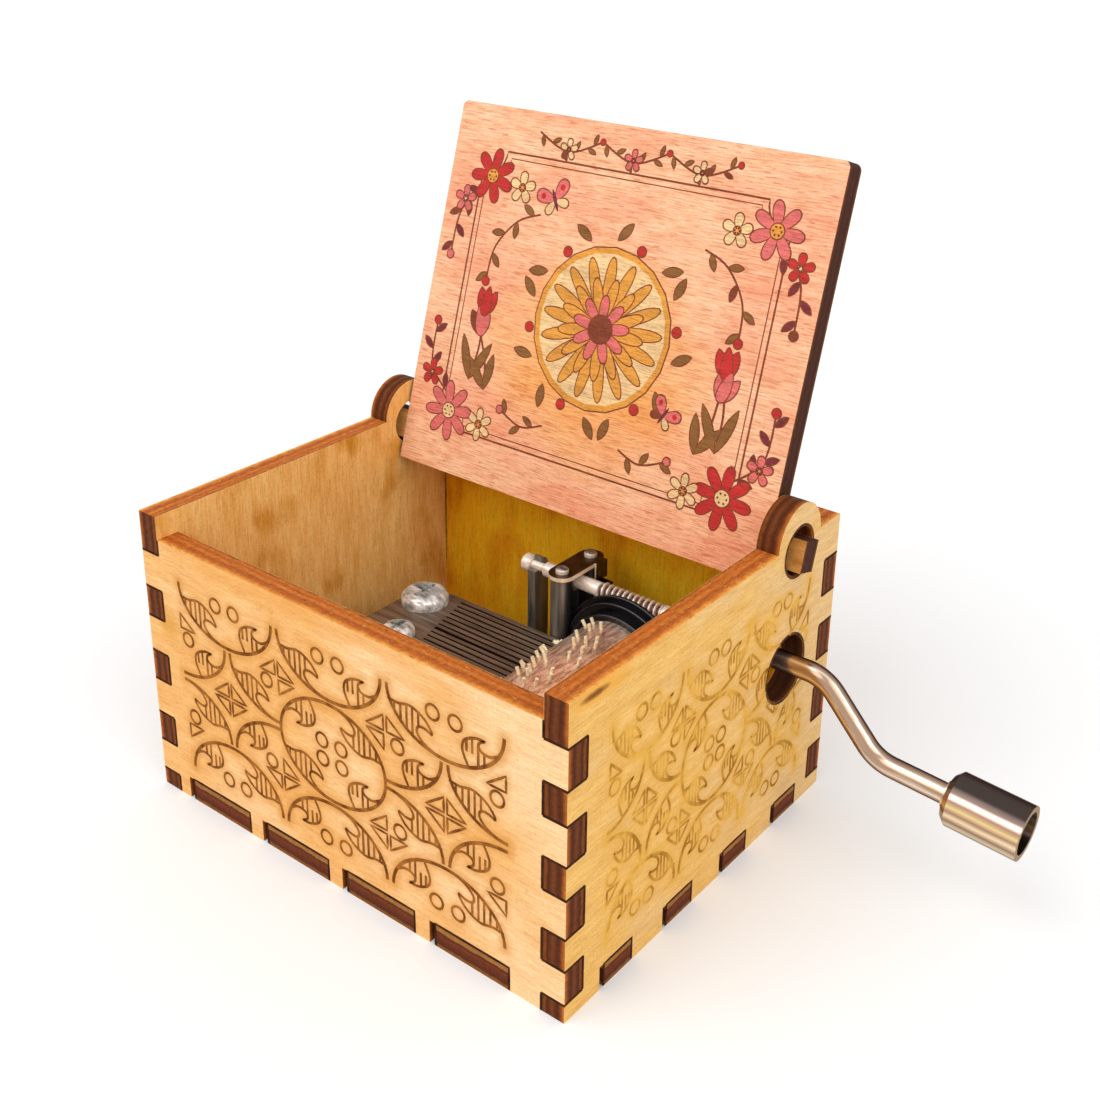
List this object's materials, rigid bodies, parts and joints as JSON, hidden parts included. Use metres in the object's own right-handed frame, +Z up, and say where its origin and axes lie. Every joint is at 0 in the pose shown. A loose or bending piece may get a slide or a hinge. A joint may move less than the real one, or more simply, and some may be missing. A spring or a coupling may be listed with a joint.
{
  "type": "music box",
  "caption": "Small hand-cranked music box in finger-jointed engraved plywood, with a loose-hinged lid, a comb and pinned-cylinder movement and a bent crank with a spinning ferrule.",
  "frame": {"origin": "centre of the case's underside, on the surface it stands on", "axes": "+X towards the crank side, -Y towards the front panel, +Z up"},
  "size_m": [0.0961, 0.0567, 0.0794],
  "materials": {
    "plywood": "bare laser-cut maple-faced plywood, engraved",
    "lid_plywood": "bare plywood, inner face printed in warm colours",
    "cast_zinc": "dark plated zinc casting",
    "comb_steel": "dark tempered steel",
    "lead": "dull lead",
    "zinc_plated": "bright zinc plate",
    "strap_steel": "dark bronze-tinted nickel",
    "drum_nickel": "rosy brushed nickel",
    "brass_pins": "bright brass",
    "bright_steel": "ground steel",
    "black_plastic": "black moulded gloss",
    "nickel": "bright nickel plate"
  },
  "bodies": {
    "case": {"front_panel": "plywood", "back_panel": "plywood", "left_side_panel": "plywood", "right_side_panel": "plywood", "bottom_panel": "plywood", "movement_bedplate": "cast_zinc", "comb": "comb_steel", "comb_weights": "lead", "comb_screw_rear": "zinc_plated", "comb_screw_front": "zinc_plated", "movement_screws": "zinc_plated", "shaft_strap": "strap_steel", "strap_rivets": "strap_steel"},
    "lid": {"lid_panel": "lid_plywood"},
    "crank": {"worm_shaft": "nickel", "shaft_collar": "nickel", "crank_rod": "nickel"},
    "ferrule": {"crank_ferrule": "nickel"},
    "cylinder": {"cylinder_drum": "drum_nickel", "cylinder_pins": "brass_pins", "cylinder_cap_front": "drum_nickel", "cylinder_cap_rear": "drum_nickel", "cylinder_arbor": "bright_steel", "worm_wheel": "black_plastic"}
  },
  "joints": [
    {"name": "lid_hinge", "type": "hinge", "parent": "case", "child": "lid", "pos_m": [0, 0.0165, 0.0365], "axis": [-1, 0, 0], "range_deg": [-106.5, 46.5]},
    {"name": "crank_spin", "type": "hinge", "parent": "case", "child": "crank", "pos_m": [0.03, 0.015, 0.023], "axis": [1, 0, 0], "continuous": true},
    {"name": "cylinder_spin", "type": "hinge", "parent": "case", "child": "cylinder", "pos_m": [0.0103, 0, 0.015], "axis": [0, 1, 0], "continuous": true},
    {"name": "ferrule_spin", "type": "hinge", "parent": "crank", "child": "ferrule", "pos_m": [0.06005, 0.015, 0.01378], "axis": [0.9969, 0, -0.0785], "continuous": true}
  ],
  "couplings": [
    {"joint": "cylinder_spin", "follows": "crank_spin", "ratio": -0.018182}
  ]
}
